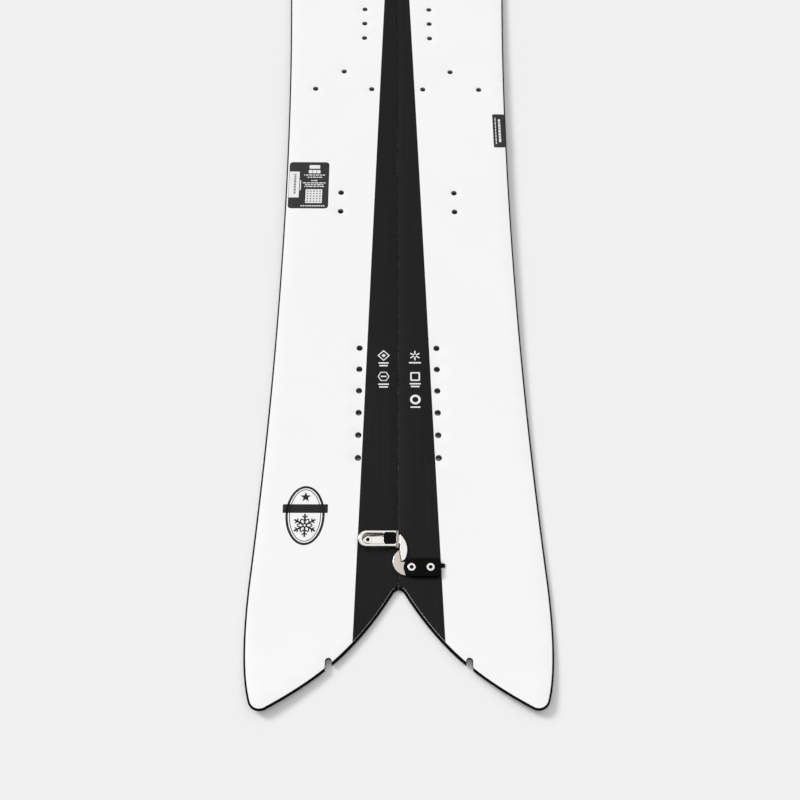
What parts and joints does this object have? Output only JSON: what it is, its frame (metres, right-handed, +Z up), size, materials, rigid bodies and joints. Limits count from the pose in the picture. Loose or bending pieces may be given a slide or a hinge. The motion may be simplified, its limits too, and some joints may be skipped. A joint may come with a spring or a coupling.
{
  "type": "splitboard",
  "caption": "Swallowtail snowboard split along its centre line into two skis, joined at nose and tail by lever clips with interlocking hooks, with threaded binding inserts.",
  "frame": {"origin": "under the middle of the board's length and width, on the ground plane and on the seam", "axes": "+X to the right, +Y to the nose, +Z up from the base to the topsheet"},
  "size_m": [0.3252, 1.52, 0.0622],
  "materials": {
    "black_base": "satin",
    "edge_steel": "satin",
    "glass_fibre": "matte",
    "core_wood": "raw",
    "sidewall_plastic": "satin",
    "topsheet_plastic": "satin",
    "insert_steel": "satin",
    "label_print": "matte",
    "bright_steel": "polished",
    "grey_steel": "satin",
    "black_plastic": "satin"
  },
  "bodies": {
    "left_half": {"left_base_sheet": "black_base", "left_outer_edge": "edge_steel", "left_inner_edge": "edge_steel", "left_lower_laminate": "glass_fibre", "left_core": "core_wood", "left_nose_spacer": "sidewall_plastic", "left_outer_sidewall": "sidewall_plastic", "left_inner_sidewall": "sidewall_plastic", "left_vee_sidewall": "sidewall_plastic", "left_upper_laminate": "glass_fibre", "left_topsheet": "topsheet_plastic", "left_front_puck_inserts": "insert_steel", "left_rear_puck_inserts": "insert_steel", "left_bracket_inserts": "insert_steel", "left_riser_inserts": "insert_steel", "left_clip_inserts": "insert_steel", "spec_label": "label_print", "tail_latch_base": "bright_steel", "tail_latch_screws": "bright_steel", "tail_hinge_pin": "bright_steel", "nose_latch_base": "bright_steel", "nose_latch_screws": "bright_steel", "nose_hinge_pin": "bright_steel"},
    "right_half": {"right_base_sheet": "black_base", "right_outer_edge": "edge_steel", "right_inner_edge": "edge_steel", "right_lower_laminate": "glass_fibre", "right_core": "core_wood", "right_nose_spacer": "sidewall_plastic", "right_outer_sidewall": "sidewall_plastic", "right_inner_sidewall": "sidewall_plastic", "right_vee_sidewall": "sidewall_plastic", "right_upper_laminate": "glass_fibre", "right_topsheet": "topsheet_plastic", "right_front_puck_inserts": "insert_steel", "right_rear_puck_inserts": "insert_steel", "right_bracket_inserts": "insert_steel", "right_riser_inserts": "insert_steel", "right_clip_inserts": "insert_steel", "edge_label": "label_print", "tail_strike_hook": "grey_steel", "tail_strike_cover": "black_plastic", "tail_strike_screws": "bright_steel", "nose_strike_hook": "grey_steel", "nose_strike_cover": "black_plastic", "nose_strike_screws": "bright_steel"},
    "tail_lever_body": {"tail_lever": "bright_steel", "tail_lever_pad": "black_plastic", "tail_cam": "bright_steel"},
    "tail_draw_hook_body": {"tail_draw_hook": "bright_steel"},
    "nose_lever_body": {"nose_lever": "bright_steel", "nose_lever_pad": "black_plastic", "nose_cam": "bright_steel"},
    "nose_draw_hook_body": {"nose_draw_hook": "bright_steel"}
  },
  "joints": [
    {"name": "half_slide", "type": "slide", "parent": "left_half", "child": "right_half", "axis": [0.1392, -0.9903, 0], "range_m": [0, 0.3]},
    {"name": "tail_lever_turn", "type": "hinge", "parent": "left_half", "child": "tail_lever_body", "pos_m": [-0.0017, -0.597, 0.0088], "axis": [0, 1, 0], "range_deg": [0, 90]},
    {"name": "tail_hook_draw", "type": "slide", "parent": "left_half", "child": "tail_draw_hook_body", "axis": [1, 0, 0], "range_m": [0, 0.0015]},
    {"name": "nose_lever_turn", "type": "hinge", "parent": "left_half", "child": "nose_lever_body", "pos_m": [-0.0017, 0.43, 0.0088], "axis": [0, 1, 0], "range_deg": [0, 90]},
    {"name": "nose_hook_draw", "type": "slide", "parent": "left_half", "child": "nose_draw_hook_body", "axis": [1, 0, 0], "range_m": [0, 0.0015]}
  ],
  "couplings": [
    {"joint": "tail_hook_draw", "follows": "tail_lever_turn", "m_per_rad": 0.00095493},
    {"joint": "nose_hook_draw", "follows": "nose_lever_turn", "m_per_rad": 0.00095493}
  ]
}
